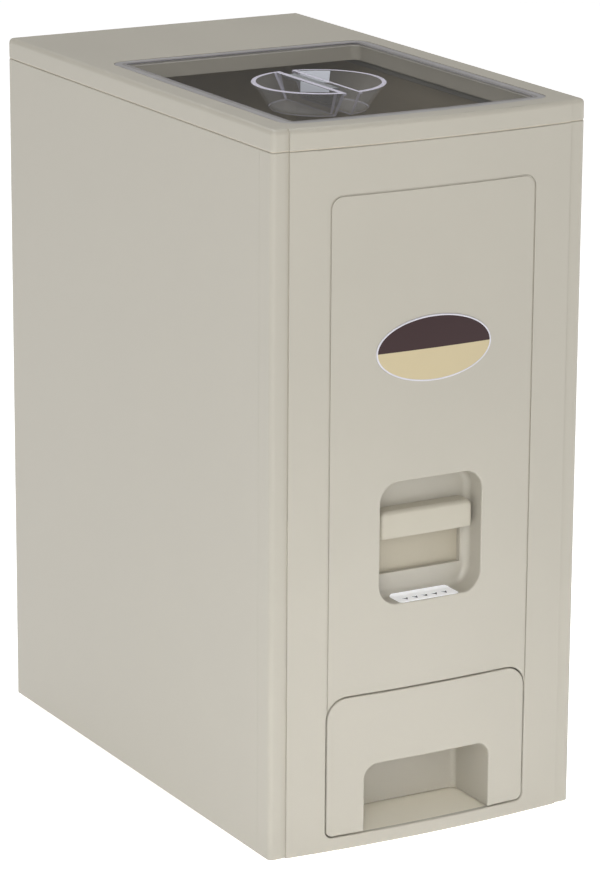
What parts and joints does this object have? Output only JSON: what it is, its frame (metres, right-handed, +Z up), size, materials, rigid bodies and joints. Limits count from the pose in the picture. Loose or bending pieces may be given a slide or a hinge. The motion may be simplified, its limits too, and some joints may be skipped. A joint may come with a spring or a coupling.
{
  "type": "rice dispenser",
  "caption": "Upright rice dispenser: hinged window lid over a hopper, a press lever that turns a metering drum, and a pull-out drawer below.",
  "frame": {"origin": "centre of the overall outline at the level the feet stand on", "axes": "+Z up, -Y out of the front where the drawer opens, +X to the right seen from the front"},
  "size_m": [0.194, 0.3274, 0.406],
  "materials": {
    "case_plastic": "warm beige ABS, satin, lightly textured",
    "inner_plastic": "plain moulded plastic of the inner parts",
    "tray_plastic": "plain moulded drawer tub",
    "gear_plastic": "white acetal",
    "clear_plastic": "clear lightly smoked sheet",
    "dish_plastic": "clear moulded plastic",
    "tape": "grey double-sided tape",
    "badge": "two-tone bare badge, brown over cream, thin silver rim",
    "foot_rubber": "matt black rubber",
    "seal_rubber": "soft grey gasket",
    "steel": "plain bright steel"
  },
  "bodies": {
    "cabinet": {"base_tray": "case_plastic", "rubber_feet": "foot_rubber", "side_panel_left": "case_plastic", "side_panel_right": "case_plastic", "rear_panel": "case_plastic", "front_fascia": "case_plastic", "badge_plate": "badge", "hinge_pins": "steel", "hopper": "inner_plastic", "metering_housing": "inner_plastic", "rice_chute": "inner_plastic", "shaft_bushes": "gear_plastic", "idler_pin": "steel", "slide_guide_left": "inner_plastic", "slide_guide_right": "inner_plastic", "spring_post": "inner_plastic", "return_spring": "steel", "drawer_bay": "inner_plastic", "drawer_runners": "inner_plastic", "base_screws": "steel", "rear_screws": "steel", "housing_screws": "steel", "guide_screws": "steel"},
    "lever": {"lever_slide": "inner_plastic", "lever_knob": "case_plastic", "knob_screws": "steel"},
    "idler": {"idler_gear": "gear_plastic"},
    "drum": {"metering_drum": "inner_plastic", "drum_shaft": "steel", "drum_gear": "gear_plastic", "shaft_clips": "steel"},
    "drawer": {"drawer_front": "case_plastic", "drawer_tray": "tray_plastic", "drawer_screws": "steel"},
    "lid": {"lid_frame": "case_plastic", "lid_window": "clear_plastic", "window_tape": "tape", "lid_seal": "seal_rubber", "repellent_dish": "dish_plastic"}
  },
  "joints": [
    {"name": "lever_press", "type": "slide", "parent": "cabinet", "child": "lever", "axis": [0, 0, -1], "range_m": [0, 0.023], "stiffness_N_per_m": 200, "springref_m": -0.015, "deforming": ["return_spring"]},
    {"name": "idler_spin", "type": "hinge", "parent": "cabinet", "child": "idler", "pos_m": [0.07, -0.122, 0.147], "axis": [1, 0, 0], "range_deg": [0, 82.5]},
    {"name": "drum_spin", "type": "hinge", "parent": "cabinet", "child": "drum", "pos_m": [0, -0.092, 0.147], "axis": [1, 0, 0], "range_deg": [-94.3, 0]},
    {"name": "drawer_slide", "type": "slide", "parent": "cabinet", "child": "drawer", "axis": [0, -1, 0], "range_m": [0, 0.187]},
    {"name": "lid_hinge", "type": "hinge", "parent": "cabinet", "child": "lid", "pos_m": [0, 0.16115, 0.3942], "axis": [-1, 0, 0], "range_deg": [0, 100]}
  ],
  "couplings": [
    {"joint": "idler_spin", "follows": "lever_press", "rad_per_m": 62.5},
    {"joint": "drum_spin", "follows": "lever_press", "rad_per_m": -71.429}
  ]
}
